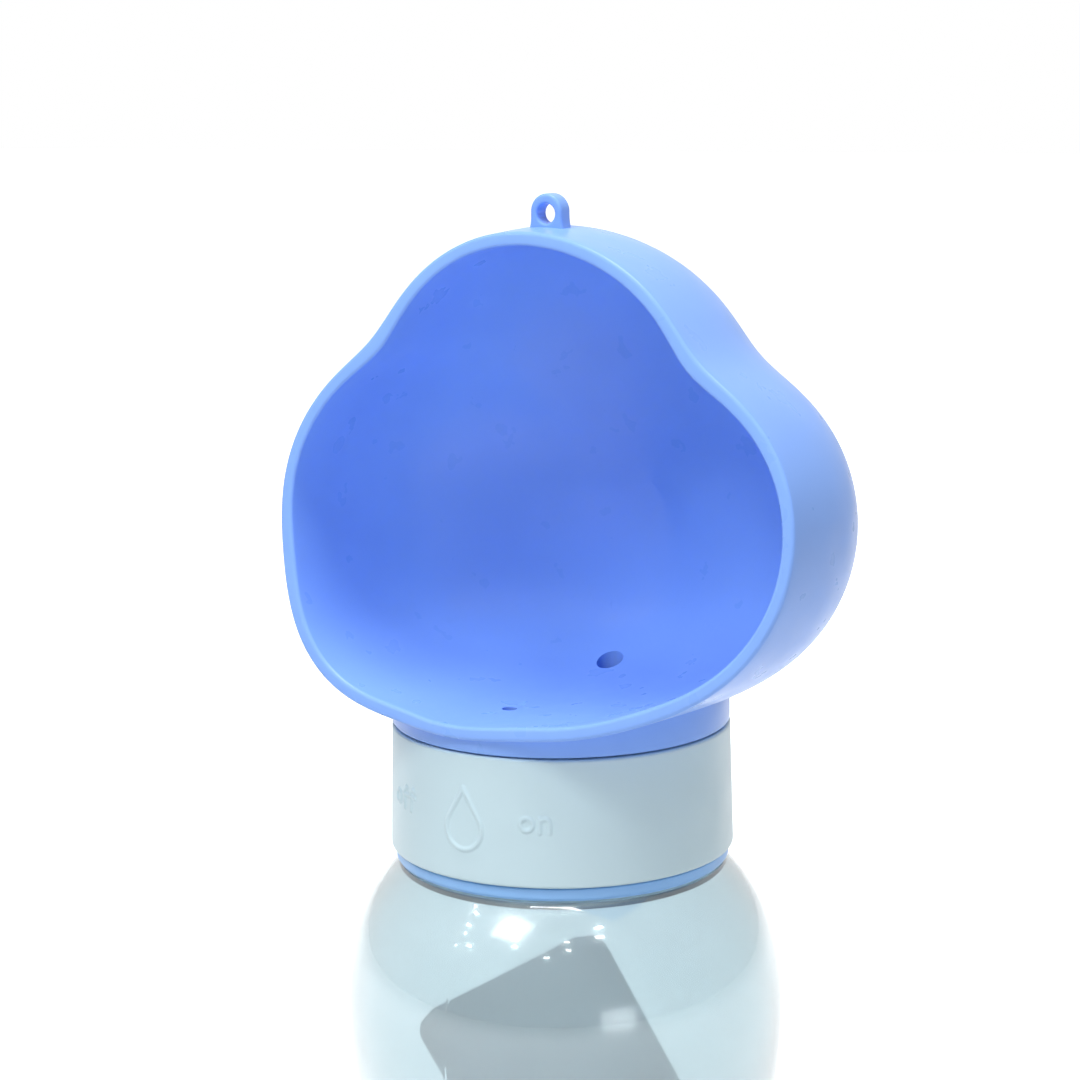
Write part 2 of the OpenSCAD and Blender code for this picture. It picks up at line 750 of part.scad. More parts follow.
// Depths of the rings, closer together towards the back
function depths(depth) = [for (j = [1:depth_steps - 1]) depth * sin(90 * j / depth_steps)];

// Closed solid through rings that run from front to back, closed behind by one point
module bowl_solid(rings, back_point) {
    n = outline_steps;
    m = len(rings);
    points = concat([for (r = rings) each r], [back_point]);
    sides = [for (j = [0:m - 2]) for (i = [0:n - 1])
        let (a = j * n + i, b = j * n + (i + 1) % n) each [[a, b, b + n], [a, b + n, a + n]]];
    front = [[for (i = [n - 1:-1:0]) i]];
    back = [for (i = [0:n - 1]) [(m - 1) * n + i, (m - 1) * n + (i + 1) % n, m * n]];
    polyhedron(points, concat(sides, front, back));
}

module bowl_outside() {
    rings = concat(
        [bowl_ring(0, bowl_depth, rim_chamfer), bowl_ring(rim_chamfer, bowl_depth, 0)],
        [for (t = depths(bowl_depth)) bowl_ring(t, bowl_depth, 0)]
    );
    bowl_solid(rings, centre_at(bowl_depth));
}

module bowl_inside() {
    depth = bowl_depth - bowl_wall;
    mouth = bowl_wall - rim_chamfer;
    rings = concat(
        [bowl_ring(-2 * past, depth, mouth), bowl_ring(0, depth, mouth),
         bowl_ring(rim_chamfer, depth, bowl_wall)],
        [for (t = depths(depth)) bowl_ring(t, depth, bowl_wall)]
    );
    bowl_solid(rings, centre_at(depth));
}

// Skirt that closes the collar from above and runs up under the bowl with a round shoulder
module bowl_neck() {
    n = 10;
    shoulder = function (inset) [for (i = [0:n]) [
        bowl_neck_r - inset - neck_shoulder_w * (1 - cos(90 * i / n)),
        neck_straight_z - inset + neck_shoulder_h * sin(90 * i / n)
    ]];
    top_z = neck_straight_z + neck_shoulder_h;
    rotate_extrude() polygon(concat(
        [[recess_r, bowl_neck_z], [bowl_neck_r, bowl_neck_z]], shoulder(0),
        [[0, top_z], [0, top_z - bowl_neck_wall]], reversed(shoulder(bowl_neck_wall))
    ));
}

// The eye with its foot and without its hole
module eye_blank() {
    foot_z = eye_foot[2] - eye_foot_depth;
    translate([eye_foot[0], eye_foot[1], eye_z]) rotate([-90, 0, 0]) cylinder(h = eye_t, r = eye_r);
    translate([eye_foot[0] - eye_r, eye_foot[1], foot_z]) cube([eye_w, eye_t, eye_z - foot_z]);
}

module lanyard_eye() {
    color("#84b2f0") difference() {
        eye_blank();
        translate([eye_foot[0], eye_foot[1] - past, eye_z - eye_bore_drop])
            rotate([-90, 0, 0]) cylinder(h = eye_t + 2 * past, r = eye_bore_r, $fn = small_fn);
    }
}

module drinking_bowl() {
    tube_h = tube_top_z - tube_z;
    color("#84b2f0") difference() {
        union() {
            difference() {
                union() {
                    bowl_outside();
                    bowl_neck();
                    translate([0, 0, rotor_top_z]) cylinder(h = tube_top_z - rotor_top_z, r = hub_r);
                }
                translate([0, 0, bowl_neck_z - past])
                    cylinder(h = rotor_top_z - bowl_neck_z + past, r = recess_r);
            }
            port_drills(0, tube_wall - key_gap, tube_z, tube_h);
        }
        bowl_inside();
        translate([0, 0, rotor_top_z - past]) cylinder(h = screw_bite + past, r = screw_r);
        port_drills(0, 0, tube_z - past, tube_h + 2 * past);
        eye_blank();
    }
}

bottle_body();
paper_slip();
seal_ring();
collar_shell();
cap_deck();
neck_gasket();
valve_gasket();
valve_rotor();
port_seals();
hub_o_ring();
hub_washer();
hub_screw();
drinking_bowl();
lanyard_eye();
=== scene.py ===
"""Looks of a travel water bottle for dogs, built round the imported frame.

Sizes are written in millimetres, as in the part's source, and turned into metres by MM.
Angles about the bottle's axis count from the bowl's front, which is -Y, towards +X.
"""

import json
import math

import bmesh
import bpy
from mathutils import Matrix, Vector

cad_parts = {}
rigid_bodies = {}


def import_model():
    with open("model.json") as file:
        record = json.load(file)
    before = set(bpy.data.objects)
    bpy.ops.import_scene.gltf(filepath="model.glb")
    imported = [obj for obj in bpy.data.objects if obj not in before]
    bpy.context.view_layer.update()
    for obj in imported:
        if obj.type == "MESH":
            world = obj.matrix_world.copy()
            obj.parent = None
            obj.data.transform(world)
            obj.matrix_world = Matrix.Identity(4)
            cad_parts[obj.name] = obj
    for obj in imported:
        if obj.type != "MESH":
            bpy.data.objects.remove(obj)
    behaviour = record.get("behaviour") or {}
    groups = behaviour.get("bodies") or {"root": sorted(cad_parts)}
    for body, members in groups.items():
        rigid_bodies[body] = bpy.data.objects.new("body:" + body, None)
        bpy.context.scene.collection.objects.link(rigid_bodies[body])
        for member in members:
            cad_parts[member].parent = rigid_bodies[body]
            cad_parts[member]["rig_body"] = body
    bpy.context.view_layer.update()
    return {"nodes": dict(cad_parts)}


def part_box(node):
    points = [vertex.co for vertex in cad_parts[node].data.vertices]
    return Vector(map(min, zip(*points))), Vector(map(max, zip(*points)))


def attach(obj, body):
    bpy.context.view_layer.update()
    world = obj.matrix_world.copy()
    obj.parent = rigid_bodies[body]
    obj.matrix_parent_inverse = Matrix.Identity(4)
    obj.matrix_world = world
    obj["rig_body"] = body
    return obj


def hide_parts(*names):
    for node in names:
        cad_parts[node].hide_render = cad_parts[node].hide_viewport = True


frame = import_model()

MM = 0.001
TURN = 2 * math.pi


# Places taken from the frame, in millimetres
def low(node):
    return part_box(node)[0] / MM


def high(node):
    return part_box(node)[1] / MM


RUN_GAP = 0.3
COLLAR_LOW_Z = low("collar_shell").z
COLLAR_TOP_Z = high("collar_shell").z
ROTOR_TOP_Z = high("valve_rotor").z
NECK_TOP_Z = high("bottle_body").z
BELLY_R = high("bottle_body").y
RING_LOW_Z = low("seal_ring").z
LIP_TOP_Z = high("seal_ring").z
RING_R = high("seal_ring").x

# Camera of the photograph: its frame, lens and the pixel of the axis at the collar's top
IMAGE_PX = 1080
FOCAL_PX = 2600
SENSOR_MM = 36
CAMERA_TURN = math.radians(31)
CAMERA_PITCH = math.radians(10.1)
CAMERA_ROLL = math.radians(-0.7)
AXIS_PIXEL = (561.2, 717.1)
PIXELS_PER_MM = 5.818

# Bowl: lobes of its outline, each (x, z, radius), and how it closes towards the back
LOBES = (
    (2.7, 12.9, 30.6), (-5.1, 21.5, 20.9), (-19.3, 0.9, 24.2), (24.3, -2.2, 26.6),
    (-22.8, -15.5, 16.5), (-7.4, -3.7, 33.6), (11, -6, 29),
)
LOBE_SCALE = 50
VALLEY_SHARPNESS = 12.6
BOWL_DEPTH = 49.5
BOWL_WALL = 2.15
BOWL_SHIFT = 4
FLOOR_LIFT = 0.6
RIM_TILT = math.radians(10)
RIM_ROUND = 0.62
BACK_DROP = math.radians(2.1)
BACK_DRIFT = 0.02
BACK_POWER = 4
BACK_ROOT = 1.18
FLOOR_HOLD = 0.67
SIDE_SWELL = 0.07
STAND_UP = 0.93
VALLEY_FADE = 10.8
BACK_SHARE = 0.87
SKIN = 0.01
OUTLINE_STEPS = 240
DEPTH_STEPS = 44

# Bowl neck, ports and hub
BOWL_NECK_R = 28.9
BOWL_NECK_WALL = 2
BOWL_NECK_H = 3.4
NECK_SHOULDER_H = 17
NECK_SHOULDER_W = 13
LIP_OVERHANG = 1.1
LIP_RISE = 2.2
PORT_ORBIT = 13.3
PORT_TURN = math.radians(-10)
PORT_RADII = (1.3, 2.35)
TUBE_WALL = 1.35
TUBE_KEY = 0.7
TUBE_RISE = 11
HUB_R = 5
SCREW_R = 1.5
SCREW_BITE = 1.4

# Eye on the bowl's top
EYE_R = 2.95
EYE_T = 3.2
EYE_BORE_R = 1.65
EYE_BORE_DROP = 0.3
EYE_FLARE = 0.7
EYE_ROUND = 0.55
EYE_BORE_ROUND = 0.7 * EYE_ROUND

# Clear bulb bottle
BELLY_Z = 50
SHOULDER_RISE = 26.3
SHOULDER_R = 28.2
BULB_FULLNESS = 2.3
BASE_R = 24
BASE_CORNER = 7
BASE_CURVE_RISE = 2
BELLY_CURVE = 0.66
BASE_RING_W = 4
BASE_DISC_R = 13
BASE_GROOVE = 1
BOTTLE_WALL = 1.6
NECK_BORE_R = 19.5
NECK_R = 22
THREAD_PITCH = 4
THREAD_TURNS = 1.5
THREAD_DEPTH = 1.4
THREAD_CREST_W = 1
THREAD_ROOT_W = 2.43
THREAD_LEAD_OUT = 4.5
SEAM_H = 0.07
SEAM_W = 0.16
SEAM_REACH_DEG = 1.2
MOUTH_ROUND = 0.6
MOUTH_CHAMFER = 0.3
NECK_FILLET = 0.5
NECK_BORE_FILLET = 0.6

# Blank paper slip inside the bottle
SLIP_W = 34
SLIP_H = 44
SLIP_T = 0.3
SLIP_CORNER = 4
SLIP_TURN = math.radians(31)
SLIP_LEAN = math.radians(27)
SLIP_BOW = 0.35
SLIP_COLUMNS = 32
SLIP_ROWS = 40

# Seal ring between bottle and collar
RING_BORE_R = 24.3
RING_LOW_ROUND = 0.9
RING_TOP_ROUND = 0.25
BEAD_RISE = 0.6

# Collar with its raised marks
COLLAR_BORE_R = 27.2
COLLAR_BOTTOM_R = 29.5
COLLAR_TOP_R = 29
COLLAR_ROUND = 0.5
GROOVE_R = 27.8
BEAD_H = 1
MARK_RELIEF = 0.26
MARK_SLOPE_START = 0.35
MARK_SLOPE_W = 0.22
MARK_REACH = math.radians(16)
MARK_ARC_DEG = (-46, 38)
PLAIN_ARC_DEG = (40, 312)
MARK_BAND_UP = 4.5
MARK_BAND_DOWN = 3.0
LETTER_H = 2.7
STROKE_W = 0.6
ARCH_SHARE = 0.42
HOOK_SHARE = 0.36
STEM_SHARE = 1.45
BAR_SHARE = 0.4
LETTER_PITCH_SHARE = 1.12
CLOSE_PITCH_SHARE = 0.8
OFF_TURN = math.radians(-33)
ON_TURN = math.radians(22)
DROP_TURN = math.radians(-3)
DROP_H = 11
DROP_ROUND_SHARE = 0.34
DROP_STROKE_SHARE = 1.2
DROP_LOWER_SHARE = 0.16

BOWL_NECK_Z = COLLAR_TOP_Z + RUN_GAP
SHOULDER_Z = BELLY_Z + SHOULDER_RISE


def spread(low_value, high_value, steps):
    """Even values from one end to the other, both included."""
    return [low_value + (high_value - low_value) * i / steps for i in range(steps + 1)]


def arc(centre, radius, start, end, steps):
    """Points (r, z) of a round corner, angles in degrees."""
    return [
        (centre[0] + radius * math.cos(math.radians(a)), centre[1] + radius * math.sin(math.radians(a)))
        for a in spread(start, end, steps)
    ]


def smoothstep(edge0, edge1, value):
    t = min(1, max(0, (value - edge0) / (edge1 - edge0)))
    return t * t * (3 - 2 * t)


# Mesh helpers
def mesh_object(name, points, faces):
    """Object of a mesh whose points are given in millimetres, with outward faces."""
    mesh = bpy.data.meshes.new(name)
    mesh.from_pydata([Vector(p) * MM for p in points], [], faces)
    mesh.validate()
    obj = bpy.data.objects.new(name, mesh)
    bpy.context.scene.collection.objects.link(obj)
    return obj


def tube_faces(rings, columns, closed_rings=False):
    """Quads between rings of points that are stored one after the other."""
    faces = []
    count = rings if closed_rings else rings - 1
    for j in range(count):
        for i in range(columns):
            k = (i + 1) % columns
            here, there = j * columns, ((j + 1) % rings) * columns
            faces.append((here + i, here + k, there + k, there + i))
    return faces


def revolve(name, profile, turns, shift=None):
    """Solid of a closed profile of (r, z) points; points on the axis become one point each.

    shift gives the change of the radius at a turn, r and z.
    """
    points, index = [], []
    for r, z in profile:
        if r < 1e-6:
            index.append([len(points)] * len(turns))
            points.append((0, 0, z))
            continue
        row = []
        for a in turns:
            rr = r + (shift(a, r, z) if shift else 0)
            row.append(len(points))
            points.append((rr * math.sin(a), -rr * math.cos(a), z))
        index.append(row)
    faces = []
    rows, columns = len(index), len(turns)
    closed = profile[0][0] > 1e-6 or profile[-1][0] > 1e-6
    for j in range(rows if closed else rows - 1):
        near, far = index[j], index[(j + 1) % rows]
        for i in range(columns):
            k = (i + 1) % columns
            corners = []
            for corner in (near[i], near[k], far[k], far[i]):
                if corner not in corners:
                    corners.append(corner)
            if len(corners) > 2:
                faces.append(tuple(corners))
    return mesh_object(name, points, faces)


def even_turns(count):
    return [TURN * i / count for i in range(count)]


def outward(obj):
    """Faces look outwards, wherever the solid's rings ran."""
    work = bmesh.new()
    work.from_mesh(obj.data)
    bmesh.ops.recalc_face_normals(work, faces=work.faces)
    work.to_mesh(obj.data)
    work.free()
    return obj


def cut(obj, tool, operation="DIFFERENCE"):
    """Applies a boolean with a closed tool, and removes the tool."""
    modifier = obj.modifiers.new("cut", "BOOLEAN")
    modifier.operation = operation
    modifier.solver = "MANIFOLD"
    modifier.object = tool
    graph = bpy.context.evaluated_depsgraph_get()
    result = bpy.data.meshes.new_from_object(obj.evaluated_get(graph))
    obj.modifiers.clear()
    obj.data = result
    bpy.data.objects.remove(tool)
    return obj


def smooth(obj, degrees=32):
    """Smooth shading that stays sharp at edges over an angle."""
    obj.data.shade_smooth()
    obj.data.set_sharp_from_angle(angle=math.radians(degrees))
    return obj


def rod(name, radius, z_low, z_high, centre=(0, 0), steps=96):
    obj = revolve(name, [(0, z_low), (radius, z_low), (radius, z_high), (0, z_high)], even_turns(steps))
    obj.data.transform(Matrix.Translation(Vector((centre[0], centre[1], 0)) * MM))
    return outward(obj)


# Shape of the bowl
def lobe_reach(lobe, a):
    """Distance from the bowl's middle to the far side of a lobe at angle a, 0 along +X."""
    m = math.hypot(lobe[0], lobe[1])
    d = a - math.atan2(lobe[1], lobe[0])
    q = lobe[2] ** 2 - (m * math.sin(d)) ** 2
    return max(m * math.cos(d) + math.sqrt(q), 0.01) if q > 0 else 0.01


def cloud_r(a, inset):
    """Radius of the cloud at the rim: the largest reach, with softly filled valleys."""
    reaches = [lobe_reach((x, z, r - inset), a) for x, z, r in LOBES]
    total = sum((reach / LOBE_SCALE) ** VALLEY_SHARPNESS for reach in reaches)
    return LOBE_SCALE * total ** (1 / VALLEY_SHARPNESS)


BACK_R = BACK_SHARE * (cloud_r(0, 0) + cloud_r(math.pi, 0)) / 2
BOWL_Z = ROTOR_TOP_Z + FLOOR_LIFT + cloud_r(1.5 * math.pi, 0) * math.cos(RIM_TILT)
RIM_Y = (BOWL_Z - BOWL_NECK_Z - LIP_RISE) * math.tan(RIM_TILT) - BOWL_NECK_R - LIP_OVERHANG


def bowl_r(a, share, inset):
    """Outline radius at a share of the depth; the floor keeps more of it and the valleys fade."""
    if share <= 0:
        return cloud_r(a, inset)
    low_side = max(0, -math.sin(a)) ** 2
    kept = (1 - share ** BACK_POWER) ** (1 / BACK_ROOT)
    kept = kept ** (1 - FLOOR_HOLD * low_side) * (1 + SIDE_SWELL * share * (1 - low_side))
    fade = share ** VALLEY_FADE
    return ((1 - fade) * cloud_r(a, inset) + fade * (BACK_R - inset)) * kept


def centre_at(t):
    """Middle of the bowl's outline at depth t behind the rim."""
    return Vector((
        BOWL_SHIFT + BACK_DRIFT * t,
        RIM_Y + t * math.cos(BACK_DROP),
        BOWL_Z - t * math.sin(BACK_DROP),
    ))


def bowl_ring(t, depth, inset):
    """Ring of points at depth t; the outline stands up from the rim's tilt on the way back."""
    centre = centre_at(t)
    share = max(0, t / depth)
    tilt = RIM_TILT * (1 - STAND_UP * share)
    upward = Vector((0, math.sin(tilt), math.cos(tilt)))
    ring = []
    for i in range(OUTLINE_STEPS):
        a = TURN * i / OUTLINE_STEPS
        r = bowl_r(a, share, inset)
        ring.append(centre + r * (Vector((math.cos(a), 0, 0)) + math.sin(a) * upward))
    return ring


def held_in(ring, node):
    """The ring, held inside the box of the part's own solid, which has coarser facets."""
    box_low, box_high = low(node), high(node)
    return [
        Vector([min(max(v, a + SKIN), b - SKIN) for v, a, b in zip(place, box_low, box_high)])
        for place in ring
    ]


def depths(start, depth):
    """Depths from near the rim to near the back, closer together at both ends."""
    first = math.asin(start / depth)
    last = math.pi / 2
    return [depth * math.sin(first + (last - first) * j / DEPTH_STEPS) for j in range(1, DEPTH_STEPS)]


def bowl_solid(name, rings, poles):
    """Closed skin through rings, from a point behind the first to a point behind the last."""
    points = [p for ring in rings for p in ring]
    first, last = len(points), len(points) + 1
    points += poles
    faces = tube_faces(len(rings), OUTLINE_STEPS)
    end = (len(rings) - 1) * OUTLINE_STEPS
    for i in range(OUTLINE_STEPS):
        k = (i + 1) % OUTLINE_STEPS
        faces.append((first, k, i))
        faces.append((last, end + i, end + k))
    return outward(mesh_object(name, points, faces))


def bowl_shell():
    """The thin shell: outside from the back to the rim, round the rim, and inside to the back."""
    inner_depth = BOWL_DEPTH - BOWL_WALL
    corner = spread(0, 90, 6)
    rings = [bowl_ring(t, BOWL_DEPTH, 0) for t in reversed(depths(RIM_ROUND, BOWL_DEPTH))]
    for degrees in corner:
        t = RIM_ROUND * (1 - math.sin(math.radians(degrees)))
        rings.append(bowl_ring(t, BOWL_DEPTH, RIM_ROUND * (1 - math.cos(math.radians(degrees)))))
    for degrees in reversed(corner):
        t = RIM_ROUND * (1 - math.sin(math.radians(degrees)))
        inset = BOWL_WALL - RIM_ROUND * (1 - math.cos(math.radians(degrees)))
        rings.append(bowl_ring(t, inner_depth, inset))
    rings += [bowl_ring(t, inner_depth, BOWL_WALL) for t in depths(RIM_ROUND, inner_depth)]
    rings = [held_in(ring, "drinking_bowl") for ring in rings]
    return bowl_solid("bowl_shell", rings, [centre_at(BOWL_DEPTH), centre_at(inner_depth)])


def bowl_hollow():
    """The space inside the bowl as a solid, reaching out before the rim."""
    inner_depth = BOWL_DEPTH - BOWL_WALL
    ahead = 3
    rings = [bowl_ring(-ahead, inner_depth, BOWL_WALL), bowl_ring(0, inner_depth, BOWL_WALL)]
    rings += [bowl_ring(t, inner_depth, BOWL_WALL) for t in depths(RIM_ROUND, inner_depth)]
    return bowl_solid("bowl_hollow", rings, [centre_at(-ahead), centre_at(inner_depth)])


def bowl_neck():
    """Skirt over the rotor, with a straight side and a round shoulder."""
    edge = 0.35
    straight_z = BOWL_NECK_Z + BOWL_NECK_H
    top_z = straight_z + NECK_SHOULDER_H
    recess_r = BOWL_NECK_R - BOWL_NECK_WALL

    def shoulder(inset):
        return [
            (
                BOWL_NECK_R - inset - NECK_SHOULDER_W * (1 - math.cos(math.radians(a))),
                straight_z - inset + NECK_SHOULDER_H * math.sin(math.radians(a)),
            )
            for a in spread(0, 90, 24)
        ]

    profile = [(recess_r, BOWL_NECK_Z)]
    profile += arc((BOWL_NECK_R - edge, BOWL_NECK_Z + edge), edge, -90, 0, 4)
    profile += shoulder(0)
    profile += [(0, top_z), (0, top_z - BOWL_NECK_WALL)]
    profile += reversed(shoulder(BOWL_NECK_WALL))
    return outward(revolve("bowl_neck", profile, even_turns(192)))


def port_centre(number):
    a = PORT_TURN + math.pi * number
    return PORT_ORBIT * math.sin(a), -PORT_ORBIT * math.cos(a)


def build_bowl():
    """The whole bowl: shell, neck, hub boss, port tubes and the two holes in its floor."""
    past = 1
    port_past = 6
    tube_top_z = ROTOR_TOP_Z + TUBE_RISE
    recess_r = BOWL_NECK_R - BOWL_NECK_WALL
    ports = [(radius, port_centre(number)) for number, radius in enumerate(PORT_RADII)]
    below = bowl_neck()
    cut(below, rod("boss", HUB_R, ROTOR_TOP_Z - past, tube_top_z), "UNION")
    for radius, centre in ports:
        tube = rod("tube", radius + TUBE_WALL, ROTOR_TOP_Z - past, tube_top_z, centre)
        cut(below, tube, "UNION")
    cut(below, bowl_hollow())
    shell = cut(bowl_shell(), below, "UNION")
    cut(shell, rod("recess", recess_r, BOWL_NECK_Z - past, ROTOR_TOP_Z))
    cut(shell, rod("screw_hole", SCREW_R, ROTOR_TOP_Z - past, ROTOR_TOP_Z + SCREW_BITE))
    for radius, centre in ports:
        key = rod("key", radius + TUBE_WALL, ROTOR_TOP_Z - TUBE_KEY, ROTOR_TOP_Z + past, centre)
        cut(shell, key, "UNION")
    for radius, centre in ports:
        cut(shell, rod("port", radius, ROTOR_TOP_Z - 2 * past, tube_top_z + port_past, centre))
    shell.name = "cloud_bowl"
    smooth(shell)
    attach(shell, "bowl")
    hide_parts("drinking_bowl")
    return shell


def build_eye():
    """Round loop with a flared foot; every edge is rounded."""
    box_low, box_high = low("lanyard_eye"), high("lanyard_eye")
    middle = (box_low + box_high) / 2
    centre = Vector((middle.x, middle.y, box_high.z - EYE_R - EYE_BORE_DROP))
    foot = centre.z - box_low.z
    half_t = EYE_T / 2

    def reach(a):
        """Distance from the hole's centre to the outline at angle a, 0 along +X."""
        x, z = math.cos(a), math.sin(a)
        top = EYE_BORE_DROP * z + math.sqrt(EYE_R ** 2 - (EYE_BORE_DROP * x) ** 2)
        if top * z >= EYE_BORE_DROP:
            return top
        across, down = max(abs(x), 1e-6), max(-z, 0)
        flare_z = min(EYE_R / across * down, foot)
        side = (EYE_R + EYE_FLARE * (flare_z / foot) ** 3) / across
        return min(side, foot / down) if down > 0 else side

    def section(a):
        """(distance from the hole's centre, y) round the loop's section."""
        out = reach(a)
        rim_e, bore_e = EYE_ROUND, EYE_BORE_ROUND
        hole = EYE_BORE_R
        loop = []
        for r0, y0, size, start in (
            (out - rim_e, half_t - rim_e, rim_e, 0),
            (hole + bore_e, half_t - bore_e, bore_e, 90),
            (hole + bore_e, -half_t + bore_e, bore_e, 180),
            (out - rim_e, -half_t + rim_e, rim_e, 270),
        ):
            loop += arc((r0, y0), size, start, start + 90, 5)
        return loop

    columns = 120
    rings = [section(TURN * i / columns) for i in range(columns)]
    points = [
        centre + Vector((r * math.cos(TURN * i / columns), y, r * math.sin(TURN * i / columns)))
        for i, ring in enumerate(rings)
        for r, y in ring
    ]
    eye = outward(mesh_object("eye_loop", points, tube_faces(columns, len(rings[0]), closed_rings=True)))
    smooth(eye, 50)
    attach(eye, "bowl")
    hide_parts("lanyard_eye")
    return eye


# Shape of the clear bottle
def cubic(p, t):
    """Point of a Bezier curve with four handles p."""
    s = 1 - t
    weights = (s ** 3, 3 * s * s * t, 3 * s * t * t, t ** 3)
    return tuple(sum(w * q[k] for w, q in zip(weights, p)) for k in (0, 1))


def bulb_below(inset):
    """The bulb's side from its base up to the belly, drawn in by inset."""
    floor = BASE_GROOVE + BOTTLE_WALL
    handles = (
        (BASE_R - inset, floor if inset else 0),
        (BASE_R + BASE_CORNER - inset, BASE_CURVE_RISE + inset),
        (BELLY_R - inset, BELLY_CURVE * BELLY_Z),
        (BELLY_R - inset, BELLY_Z),
    )
    return [cubic(handles, t) for t in spread(0, 1, 40)]


def bulb_above(inset):
    """The bulb's side from the belly up to the shoulder, drawn in by inset."""
    share = 1 - (SHOULDER_R / BELLY_R) ** BULB_FULLNESS
    full = SHOULDER_RISE / share ** (1 / BULB_FULLNESS) - inset
    curve = []
    for a in spread(0, 90, 40)[1:]:
        z = (SHOULDER_RISE - inset) * math.sin(math.radians(a))
        kept = (1 - (z / full) ** BULB_FULLNESS) ** (1 / BULB_FULLNESS)
        curve.append(((BELLY_R - inset) * kept, BELLY_Z + z))
    return curve


def seam_distance(a):
    """Angle to the nearer of the two mould seams, which are at the front and the back."""
    return min(abs(math.remainder(a - s, TURN)) for s in (0, math.pi))


def seam_turns():
    """Turns round the bottle, close together at the two mould seams."""
    fine = [math.radians(d) for d in spread(-SEAM_REACH_DEG, SEAM_REACH_DEG, 16)]
    far = math.radians(SEAM_REACH_DEG) * 1.1
    kept = [a for a in even_turns(240) if seam_distance(a) > far]
    return sorted((a % TURN) for a in kept + fine + [a + math.pi for a in fine])


def seam_shift(a, r, z):
    """The bulb is drawn in by the seam's height, so that the mould seam reaches the full radius."""
    if z < 0.5 or z > SHOULDER_Z + 1 or r < bulb_outside_r(z) - BOTTLE_WALL / 2:
        return 0
    across = seam_distance(a) * r
    return SEAM_H * (math.exp(-((across / SEAM_W) ** 2)) - 1) * smoothstep(0.5, 4, z)


def bulb_outside_r(z):
    """Outside radius of the bulb at height z, between the points of its curve."""
    for (r0, z0), (r1, z1) in zip(BULB_OUTSIDE, BULB_OUTSIDE[1:]):
        if z0 <= z <= z1:
            return r0 + (r1 - r0) * (z - z0) / max(z1 - z0, 1e-9)
    return SHOULDER_R


BULB_OUTSIDE = bulb_below(0) + bulb_above(0)


def neck_thread():
    """The thread on the bottle's neck, as the part has it, with finer steps."""
    steps = 160
    sink = 0.4
    start_z = NECK_TOP_Z - THREAD_LEAD_OUT - THREAD_PITCH * THREAD_TURNS
    points = []
    for i in range(steps + 1):
        turn = THREAD_TURNS * i / steps
        fade = min(1, min(i, steps - i) / steps / 0.08)
        a = TURN * turn
        z = start_z + THREAD_PITCH * turn
        crest = NECK_R + THREAD_DEPTH * math.sin(fade * math.pi / 2)
        for r, dz in (
            (NECK_R - sink, -THREAD_ROOT_W / 2), (crest, -THREAD_CREST_W / 2),
            (crest, THREAD_CREST_W / 2), (NECK_R - sink, THREAD_ROOT_W / 2),
        ):
            points.append((r * math.sin(a), -r * math.cos(a), z + dz))
    faces = tube_faces(steps + 1, 4)
    last = 4 * steps
    faces += [(3, 2, 1, 0), (last, last + 1, last + 2, last + 3)]
    return outward(mesh_object("neck_thread", points, faces))


def build_bottle():
    """Clear bulb with its wall, base, shoulder, threaded neck and mould seams."""
    base_in = BASE_R - BASE_RING_W
    groove = [
        (r, BASE_GROOVE * smoothstep(0, 1.5, min(r - BASE_DISC_R, base_in - r)))
        for r in spread(BASE_DISC_R, base_in, 20)
    ]
    outside = [(0, 0)] + groove + BULB_OUTSIDE
    outside += [(NECK_R + NECK_FILLET, SHOULDER_Z), (NECK_R, SHOULDER_Z + NECK_FILLET)]
    outside += arc((NECK_R - MOUTH_ROUND, NECK_TOP_Z - MOUTH_ROUND), MOUTH_ROUND, 0, 90, 6)
    inside = [(0, BASE_GROOVE + BOTTLE_WALL)] + bulb_below(BOTTLE_WALL) + bulb_above(BOTTLE_WALL)
    ceiling_z = SHOULDER_Z - BOTTLE_WALL
    inside += [(NECK_BORE_R + NECK_BORE_FILLET, ceiling_z), (NECK_BORE_R, ceiling_z + NECK_BORE_FILLET)]
    inside += [(NECK_BORE_R, NECK_TOP_Z - MOUTH_CHAMFER), (NECK_BORE_R + MOUTH_CHAMFER, NECK_TOP_Z)]
    bottle = outward(revolve("clear_bulb", outside + inside[::-1], seam_turns(), seam_shift))
    cut(bottle, neck_thread(), "UNION")
    smooth(bottle)
    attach(bottle, "bottle")
    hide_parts("bottle_body")
    return bottle


